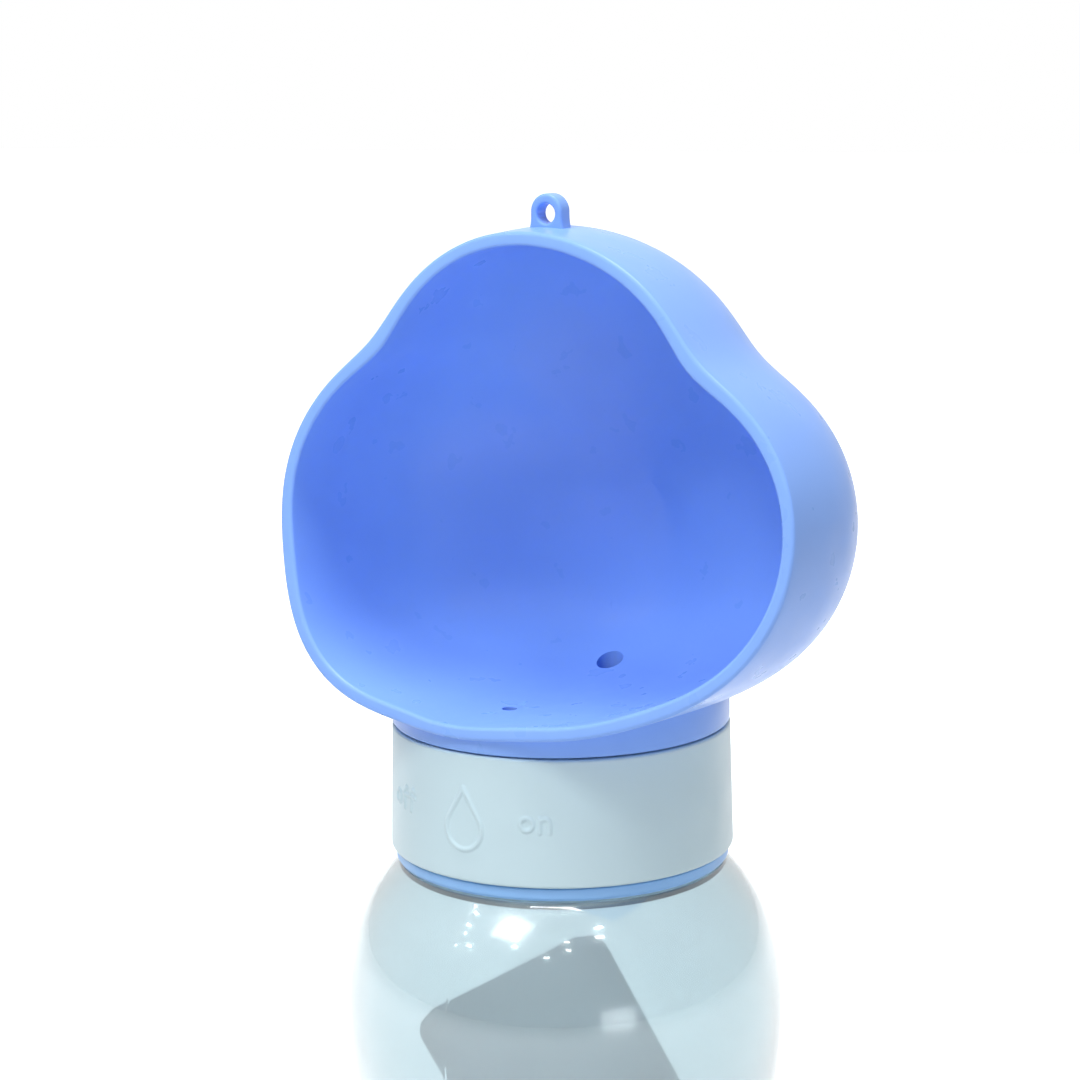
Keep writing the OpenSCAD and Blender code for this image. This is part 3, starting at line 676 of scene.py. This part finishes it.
def build_slip():
    """Blank paper slip that leans inside the bulb, very slightly bowed."""
    node = frame["nodes"]["paper_slip"]
    box_low, box_high = low("paper_slip"), high("paper_slip")
    middle = (box_low + box_high) / 2
    out = Vector((math.sin(SLIP_TURN), -math.cos(SLIP_TURN), 0))
    side = Vector((math.cos(SLIP_TURN), math.sin(SLIP_TURN), 0))
    across = side * math.cos(SLIP_LEAN) + Vector((0, 0, math.sin(SLIP_LEAN)))
    along = Vector((0, 0, math.cos(SLIP_LEAN))) - side * math.sin(SLIP_LEAN)
    columns, rows = SLIP_COLUMNS, SLIP_ROWS
    points, faces = [], []
    for face in (1, -1):
        for j in range(rows + 1):
            for i in range(columns + 1):
                u, v = i / columns * 2 - 1, j / rows * 2 - 1
                edge = max(0, abs(v) * SLIP_H / 2 - (SLIP_H / 2 - SLIP_CORNER))
                half = SLIP_W / 2 - SLIP_CORNER + math.sqrt(max(SLIP_CORNER ** 2 - edge ** 2, 0))
                x, y = u * half, v * SLIP_H / 2
                lift = SLIP_BOW * (0.5 - u * u) * 0.4 + SLIP_BOW * 0.25 * math.sin(3 * v + 1.5 * u)
                points.append(middle + across * x + along * y + out * (lift * 0.4 + face * SLIP_T / 2))
    sheet = (rows + 1) * (columns + 1)

    def at(face, j, i):
        """Number of a point: 0 for the outer face and 1 for the inner one, then row and column."""
        return face * sheet + j * (columns + 1) + i

    for j in range(rows):
        for i in range(columns):
            faces.append((at(0, j, i), at(0, j, i + 1), at(0, j + 1, i + 1), at(0, j + 1, i)))
            faces.append((at(1, j, i), at(1, j + 1, i), at(1, j + 1, i + 1), at(1, j, i + 1)))
    rim = [(0, i) for i in range(columns)] + [(j, columns) for j in range(rows)]
    rim += [(rows, i) for i in range(columns, 0, -1)] + [(j, 0) for j in range(rows, 0, -1)]
    for (j0, i0), (j1, i1) in zip(rim, rim[1:] + rim[:1]):
        faces.append((at(0, j0, i0), at(1, j0, i0), at(1, j1, i1), at(0, j1, i1)))
    slip = outward(mesh_object("blank_slip", points, faces))
    smooth(slip, 50)
    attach(slip, node["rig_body"])
    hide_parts("paper_slip")
    return slip


def build_ring():
    """Seal ring with rounded edges; its lip and bead stay inside the collar."""
    top_z = COLLAR_LOW_Z - RUN_GAP
    lip_r = COLLAR_BORE_R - RUN_GAP
    bead_r = lip_r + BEAD_RISE
    low_e, top_e = RING_LOW_ROUND, RING_TOP_ROUND
    profile = [(RING_BORE_R, RING_LOW_Z)]
    profile += arc((RING_R - low_e, RING_LOW_Z + low_e), low_e, -90, 0, 8)
    profile += arc((RING_R - top_e, top_z - top_e), top_e, 0, 90, 4)
    profile += [(lip_r, top_z), (lip_r, LIP_TOP_Z - BEAD_H), (bead_r, LIP_TOP_Z - BEAD_H)]
    profile += [(bead_r, LIP_TOP_Z - BEAD_H / 2), (lip_r, LIP_TOP_Z), (RING_BORE_R, LIP_TOP_Z)]
    ring = outward(revolve("seal_band", profile, even_turns(240)))
    smooth(ring)
    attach(ring, "ring_carrier")
    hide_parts("seal_ring")
    return ring


# Raised marks on the collar, as distances to strokes in millimetres
def segment_distance(x, y, x0, y0, x1, y1):
    dx, dy = x1 - x0, y1 - y0
    t = max(0, min(1, ((x - x0) * dx + (y - y0) * dy) / (dx * dx + dy * dy)))
    return math.hypot(x - x0 - t * dx, y - y0 - t * dy)


def arc_distance(x, y, cx, cy, r, start, end):
    """Distance to an arc, angles in degrees, counted anticlockwise."""
    a = math.degrees(math.atan2(y - cy, x - cx)) % 360
    if (a - start) % 360 <= (end - start) % 360 or end - start >= 360:
        return abs(math.hypot(x - cx, y - cy) - r)
    ends = [
        math.hypot(x - cx - r * math.cos(math.radians(e)), y - cy - r * math.sin(math.radians(e)))
        for e in (start, end)
    ]
    return min(ends)


def letter_o(x, y):
    r = (LETTER_H - STROKE_W) / 2
    return arc_distance(x, y, 0, LETTER_H / 2, r, 0, 360)


def letter_n(x, y):
    r = LETTER_H * ARCH_SHARE - STROKE_W / 2
    top = LETTER_H - LETTER_H * ARCH_SHARE
    return min(
        segment_distance(x, y, -r, 0, -r, LETTER_H - STROKE_W / 2),
        segment_distance(x, y, r, 0, r, top),
        arc_distance(x, y, 0, top, r, 0, 180),
    )


def letter_f(x, y):
    r = LETTER_H * HOOK_SHARE - STROKE_W / 2
    stem = LETTER_H * STEM_SHARE - LETTER_H * HOOK_SHARE
    left = -STROKE_W / 2
    bar = LETTER_H * BAR_SHARE
    bar_y = LETTER_H - STROKE_W / 2
    return min(
        segment_distance(x, y, left, 0, left, stem),
        arc_distance(x, y, left + r, stem, r, 70, 180),
        segment_distance(x, y, -bar, bar_y, bar, bar_y),
    )


def drop_outline():
    """The drop mark's middle line, point up, about the middle of its round part."""
    height = DROP_H - DROP_STROKE_SHARE * STROKE_W
    r = height * DROP_ROUND_SHARE
    tip = height - r
    lift = math.degrees(math.asin(r / tip))
    round_part = [math.radians(a) for a in spread(lift, -180 - lift, 48)]
    return [(0, tip)] + [(r * math.cos(a), r * math.sin(a)) for a in round_part]


DROP_LINE = drop_outline()


def drop_distance(x, y):
    """Distance to the drop's middle line; far from the drop any large value does."""
    if max(abs(x), abs(y)) > DROP_H:
        return DROP_H
    pairs = zip(DROP_LINE, DROP_LINE[1:] + DROP_LINE[:1])
    return min(segment_distance(x, y, *p, *q) for p, q in pairs)


def mark_list():
    """Each mark: turn of its middle, height of its base line, distance function, half stroke."""
    middle_z = (COLLAR_LOW_Z + COLLAR_TOP_Z) / 2
    line_z = middle_z - LETTER_H / 2
    pitch = LETTER_H * LETTER_PITCH_SHARE / COLLAR_BOTTOM_R
    half = STROKE_W / 2
    return [
        (OFF_TURN - pitch, line_z, letter_o, half),
        (OFF_TURN, line_z, letter_f, half),
        (OFF_TURN + pitch * CLOSE_PITCH_SHARE, line_z, letter_f, half),
        (ON_TURN - pitch / 2, line_z, letter_o, half),
        (ON_TURN + pitch / 2, line_z, letter_n, half),
        (DROP_TURN, middle_z - DROP_H * DROP_LOWER_SHARE, drop_distance, DROP_STROKE_SHARE * half),
    ]


MARKS = mark_list()


def mark_shift(a, r, z):
    """Height of the raised marks over the collar's outside."""
    if r < COLLAR_TOP_R - 0.1:
        return 0
    best = 0
    for turn, base_z, distance, half in MARKS:
        away = math.remainder(a - turn, TURN)
        if abs(away) > MARK_REACH or abs(z - base_z) > DROP_H:
            continue
        d = distance(away * COLLAR_BOTTOM_R, z - base_z)
        best = max(best, 1 - smoothstep(half * MARK_SLOPE_START, half + MARK_SLOPE_W, d))
    return MARK_RELIEF * best


def build_collar():
    """Twist collar with rounded edges and softly raised marks."""
    dense = [math.radians(d) for d in spread(*MARK_ARC_DEG, 300)]
    coarse = [math.radians(d) for d in spread(*PLAIN_ARC_DEG, 136)]
    turns = dense + coarse
    e = COLLAR_ROUND
    groove_low = LIP_TOP_Z - BEAD_H - RUN_GAP
    groove_high = LIP_TOP_Z + RUN_GAP
    lower, upper = COLLAR_LOW_Z + e, COLLAR_TOP_Z - e
    mark_low, mark_high = COLLAR_LOW_Z + MARK_BAND_UP, COLLAR_TOP_Z - MARK_BAND_DOWN

    def side_r(z):
        return COLLAR_BOTTOM_R + (COLLAR_TOP_R - COLLAR_BOTTOM_R) * (z - lower) / (upper - lower)

    heights = spread(lower, mark_low, 6)[1:]
    heights += spread(mark_low, mark_high, 90)[1:]
    heights += spread(mark_high, upper, 6)[1:-1]
    profile = [(COLLAR_BORE_R, COLLAR_LOW_Z)]
    profile += arc((COLLAR_BOTTOM_R - e, lower), e, -90, 0, 6)
    profile += [(side_r(z), z) for z in heights]
    profile += arc((COLLAR_TOP_R - e, upper), e, 0, 90, 6)
    profile += [(COLLAR_BORE_R, COLLAR_TOP_Z), (COLLAR_BORE_R, groove_high), (GROOVE_R, groove_high)]
    profile += [(GROOVE_R, groove_low), (COLLAR_BORE_R, groove_low)]
    collar = outward(revolve("twist_collar", profile, turns, mark_shift))
    smooth(collar)
    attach(collar, "collar")
    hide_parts("collar_shell")
    return collar


# Materials; most values of a noise texture lie between these two
NOISE_LOW = 0.3
NOISE_HIGH = 0.7


def new_material(name):
    material = bpy.data.materials.new(name)
    material.use_nodes = True
    return material, material.node_tree.nodes, material.node_tree.links


def noise(nodes, links, scale, detail=3.0, roughness=0.5):
    """Noise in the piece's own metres."""
    place = nodes.new("ShaderNodeTexCoord")
    texture = nodes.new("ShaderNodeTexNoise")
    texture.inputs["Scale"].default_value = scale
    texture.inputs["Detail"].default_value = detail
    texture.inputs["Roughness"].default_value = roughness
    links.new(place.outputs["Object"], texture.inputs["Vector"])
    return texture.outputs["Fac"]


def two_tone(nodes, links, source, first, second):
    """Colour that drifts from one to the other over a noise."""
    node = nodes.new("ShaderNodeValToRGB")
    stops = ((NOISE_LOW, first), (NOISE_HIGH, second))
    for element, (position, colour) in zip(node.color_ramp.elements, stops):
        element.position = position
        element.color = (*colour, 1)
    links.new(source, node.inputs["Fac"])
    return node.outputs["Color"]


def value_range(nodes, links, source, to_low, to_high):
    """Value that drifts between two others over a noise."""
    node = nodes.new("ShaderNodeMapRange")
    node.inputs["From Min"].default_value = NOISE_LOW
    node.inputs["From Max"].default_value = NOISE_HIGH
    node.inputs["To Min"].default_value = to_low
    node.inputs["To Max"].default_value = to_high
    links.new(source, node.inputs["Value"])
    return node.outputs["Result"]


def bump(nodes, links, source, strength, distance):
    """Bumps of a height in metres, for the shader's normal."""
    node = nodes.new("ShaderNodeBump")
    node.inputs["Strength"].default_value = strength
    node.inputs["Distance"].default_value = distance
    links.new(source, node.inputs["Height"])
    return node.outputs["Normal"]


def shade(colour, factor):
    return tuple(c * factor for c in colour)


def plastic(name, colour, rough, variation=0.05, grain=900, grain_depth=0.00002, **sockets):
    """Moulded plastic or rubber: slight colour drift, uneven gloss and a fine moulded grain."""
    material, nodes, links = new_material(name)
    shader = nodes["Principled BSDF"]
    drift = noise(nodes, links, 45, 2)
    tone = two_tone(nodes, links, drift, shade(colour, 1 - variation), shade(colour, 1 + variation))
    links.new(tone, shader.inputs["Base Color"])
    uneven = noise(nodes, links, 160, 3)
    links.new(value_range(nodes, links, uneven, rough * 0.85, rough * 1.15), shader.inputs["Roughness"])
    fine = noise(nodes, links, grain, 4, 0.6)
    links.new(bump(nodes, links, fine, 0.35, grain_depth), shader.inputs["Normal"])
    for socket, value in sockets.items():
        shader.inputs[socket.replace("_", " ")].default_value = value
    return material


def clear_plastic():
    """Slightly hazy clear plastic: blurred see-through under a glossy skin."""
    material, nodes, links = new_material("clear_bulb_plastic")
    shader = nodes["Principled BSDF"]
    drift = noise(nodes, links, 30, 2)
    tint = two_tone(nodes, links, drift, (0.66, 0.785, 0.825), (0.70, 0.81, 0.85))
    links.new(tint, shader.inputs["Base Color"])
    haze = noise(nodes, links, 90, 3)
    links.new(value_range(nodes, links, haze, 0.12, 0.18), shader.inputs["Roughness"])
    ripple = noise(nodes, links, 60, 2)
    links.new(bump(nodes, links, ripple, 0.15, 0.0001), shader.inputs["Normal"])
    shader.inputs["IOR"].default_value = 1.46
    shader.inputs["Transmission Weight"].default_value = 0.84
    shader.inputs["Coat Weight"].default_value = 1.0
    shader.inputs["Coat Roughness"].default_value = 0.02
    shader.inputs["Coat IOR"].default_value = 1.5
    return material


def steel():
    """Turned stainless steel: fine rings about the axis and a little unevenness."""
    material, nodes, links = new_material("turned_steel")
    shader = nodes["Principled BSDF"]
    place = nodes.new("ShaderNodeTexCoord")
    rings = nodes.new("ShaderNodeTexWave")
    rings.wave_type = "RINGS"
    rings.rings_direction = "Z"
    rings.inputs["Scale"].default_value = 900
    rings.inputs["Distortion"].default_value = 0.6
    links.new(place.outputs["Object"], rings.inputs["Vector"])
    drift = noise(nodes, links, 300, 2)
    tone = two_tone(nodes, links, drift, (0.50, 0.52, 0.54), (0.62, 0.64, 0.66))
    links.new(tone, shader.inputs["Base Color"])
    links.new(bump(nodes, links, rings.outputs["Fac"], 0.3, 0.00002), shader.inputs["Normal"])
    shader.inputs["Metallic"].default_value = 1.0
    shader.inputs["Roughness"].default_value = 0.28
    return material


BLUE = (0.235, 0.43, 0.95)
bowl_blue = plastic("bowl_blue_plastic", BLUE, 0.31, 0.03, Specular_IOR_Level=0.3, IOR=1.47)
ring_blue = plastic("ring_blue_silicone", (0.26, 0.52, 0.93), 0.42, 0.04)
collar_white = plastic("collar_pale_plastic", (0.56, 0.73, 0.80), 0.38, 0.02, IOR=1.46)
deck_white = plastic("deck_pale_plastic", (0.70, 0.78, 0.80), 0.45, 0.03)
seal_white = plastic("white_silicone", (0.80, 0.83, 0.84), 0.55, 0.04, grain=1500)
seal_dark = plastic("dark_rubber", (0.035, 0.04, 0.045), 0.55, 0.15, grain=1500)
slip_paper = plastic("slip_paper", (0.30, 0.38, 0.43), 0.8, 0.08, grain=2600, grain_depth=0.00004)
clear = clear_plastic()
steel_turned = steel()


def dress(obj, material):
    """The object gets this one material."""
    obj.data.materials.clear()
    obj.data.materials.append(material)
    return obj


dress(build_bowl(), bowl_blue)
dress(build_eye(), bowl_blue)
dress(build_bottle(), clear)
dress(build_slip(), slip_paper)
dress(build_ring(), ring_blue)
dress(build_collar(), collar_white)
for node_name, node_material in (
    ("cap_deck", deck_white), ("neck_gasket", seal_white), ("valve_gasket", seal_white),
    ("valve_rotor", bowl_blue), ("port_seals", seal_white), ("hub_o_ring", seal_dark),
    ("hub_washer", steel_turned), ("hub_screw", steel_turned),
):
    dress(frame["nodes"][node_name], node_material)


# Camera, lamps, world and floor
def build_camera():
    """The photograph's camera: its axis pixel falls on the collar's top at the fitted scale."""
    turn, pitch, roll = CAMERA_TURN, CAMERA_PITCH, CAMERA_ROLL
    flat = math.cos(pitch)
    forward = Vector((-math.sin(turn) * flat, math.cos(turn) * flat, -math.sin(pitch)))
    level = Vector((math.cos(turn), math.sin(turn), 0))
    above = level.cross(forward)
    right = level * math.cos(roll) + above * math.sin(roll)
    up = above * math.cos(roll) - level * math.sin(roll)
    depth = FOCAL_PX / PIXELS_PER_MM
    half = IMAGE_PX / 2
    place = Vector((0, 0, COLLAR_TOP_Z)) - forward * depth
    place -= right * (AXIS_PIXEL[0] - half) * depth / FOCAL_PX
    place += up * (AXIS_PIXEL[1] - half) * depth / FOCAL_PX
    data = bpy.data.cameras.new("photo_camera")
    data.sensor_width = SENSOR_MM
    data.lens = SENSOR_MM * FOCAL_PX / IMAGE_PX
    data.clip_start = 0.01
    data.clip_end = 50
    camera = bpy.data.objects.new("photo_camera", data)
    axes = Matrix((right, up, -forward)).transposed().to_4x4()
    camera.matrix_world = Matrix.Translation(place * MM) @ axes
    bpy.context.scene.collection.objects.link(camera)
    bpy.context.scene.camera = camera


# Light: places in metres, turns and lifts in degrees
AIM = Vector((0, 0, 0.11))
SOFT_LIGHT = 0.16
FLOOR_GREY = 0.8
FLOOR_HALF_MM = 6000
GLOW_NEAR, GLOW_FAR = 0.08, 0.45
GLOW_NEAR_STRENGTH, GLOW_FAR_STRENGTH = 0.72, 1.0
WINDOW_PLACES = ((60, 54), (57, 47.5))
SPOT_PLACES = (
    (33, 46.4), (33.7, 40.8), (20, 35.5), (-4, 45), (-2, 40),
    (-53.5, 51), (-46, 49), (-40.6, 41.7), (-39, 36.7), (-37, 28.3), (-29.6, 31.6),
)


def lamp(name, turn, lift, distance, size, power, size_y=None, glossy=True):
    """Area lamp at a turn about the axis and a lift above level, in degrees, aimed at the object.

    It is square, or with size_y a rectangle.
    """
    t, e = math.radians(turn), math.radians(lift)
    data = bpy.data.lights.new(name, "AREA")
    data.shape = "RECTANGLE" if size_y else "SQUARE"
    data.size = size
    if size_y:
        data.size_y = size_y
    data.energy = power
    obj = bpy.data.objects.new(name, data)
    away = Vector((math.sin(t) * math.cos(e), -math.cos(t) * math.cos(e), math.sin(e)))
    obj.location = AIM + away * distance
    obj.rotation_euler = (-away).to_track_quat("-Z", "Y").to_euler()
    obj.visible_glossy = glossy
    bpy.context.scene.collection.objects.link(obj)
    return obj


def seen_by_ray(nodes, links):
    """1 for camera, glossy and transmission rays, 0 for the rest."""
    path = nodes.new("ShaderNodeLightPath")
    answer = path.outputs["Is Camera Ray"]
    for kind in ("Is Glossy Ray", "Is Transmission Ray"):
        either = nodes.new("ShaderNodeMath")
        either.operation = "MAXIMUM"
        links.new(answer, either.inputs[0])
        links.new(path.outputs[kind], either.inputs[1])
        answer = either.outputs["Value"]
    return answer


def build_world():
    """White where the world is seen, and a dim soft light for the rest."""
    world = bpy.data.worlds.new("studio")
    world.use_nodes = True
    nodes, links = world.node_tree.nodes, world.node_tree.links
    soft = nodes["Background"]
    soft.inputs["Color"].default_value = (1, 1, 1, 1)
    soft.inputs["Strength"].default_value = SOFT_LIGHT
    white = nodes.new("ShaderNodeBackground")
    white.inputs["Color"].default_value = (1, 1, 1, 1)
    white.inputs["Strength"].default_value = 1.0
    mix = nodes.new("ShaderNodeMixShader")
    links.new(seen_by_ray(nodes, links), mix.inputs["Fac"])
    links.new(soft.outputs["Background"], mix.inputs[1])
    links.new(white.outputs["Background"], mix.inputs[2])
    links.new(mix.outputs["Shader"], nodes["World Output"].inputs["Surface"])
    bpy.context.scene.world = world


def build_floor():
    """Wide pale floor that reads white but keeps the object's soft shadow."""
    half = FLOOR_HALF_MM
    corners = [(-half, -half, 0), (half, -half, 0), (half, half, 0), (-half, half, 0)]
    floor = mesh_object("floor", corners, [(0, 1, 2, 3)])
    material, nodes, links = new_material("pale_floor")
    shader = nodes["Principled BSDF"]
    shader.inputs["Base Color"].default_value = (FLOOR_GREY, FLOOR_GREY, FLOOR_GREY, 1)
    shader.inputs["Roughness"].default_value = 0.9
    glow = nodes.new("ShaderNodeEmission")
    glow.inputs["Color"].default_value = (1, 1, 1, 1)
    place = nodes.new("ShaderNodeTexCoord")
    away = nodes.new("ShaderNodeVectorMath")
    away.operation = "LENGTH"
    links.new(place.outputs["Object"], away.inputs[0])
    rise = nodes.new("ShaderNodeMapRange")
    rise.interpolation_type = "SMOOTHSTEP"
    rise.inputs["From Min"].default_value = GLOW_NEAR
    rise.inputs["From Max"].default_value = GLOW_FAR
    rise.inputs["To Min"].default_value = GLOW_NEAR_STRENGTH
    rise.inputs["To Max"].default_value = GLOW_FAR_STRENGTH
    links.new(away.outputs["Value"], rise.inputs["Value"])
    links.new(rise.outputs["Result"], glow.inputs["Strength"])
    both = nodes.new("ShaderNodeAddShader")
    links.new(shader.outputs["BSDF"], both.inputs[0])
    links.new(glow.outputs["Emission"], both.inputs[1])
    mix = nodes.new("ShaderNodeMixShader")
    links.new(seen_by_ray(nodes, links), mix.inputs["Fac"])
    links.new(shader.outputs["BSDF"], mix.inputs[1])
    links.new(both.outputs["Shader"], mix.inputs[2])
    links.new(mix.outputs["Shader"], nodes["Material Output"].inputs["Surface"])
    dress(floor, material)


build_camera()
build_world()
build_floor()
lamp("overhead", turn=20, lift=84, distance=1.0, size=0.4, power=7.5)
lamp("key", turn=-14, lift=54, distance=1.0, size=0.28, power=4.6, glossy=False)
lamp("low_fill", turn=58, lift=-4, distance=1.0, size=0.3, power=1.8, glossy=False)
for number, (turn, lift) in enumerate(WINDOW_PLACES):
    lamp(f"window_{number}", turn, lift, distance=0.6, size=0.045, power=0.085, size_y=0.02)
for number, (turn, lift) in enumerate(SPOT_PLACES):
    lamp(f"spot_{number}", turn, lift, distance=0.6, size=0.03, power=0.033, size_y=0.014)

bpy.context.scene.view_settings.view_transform = "Standard"
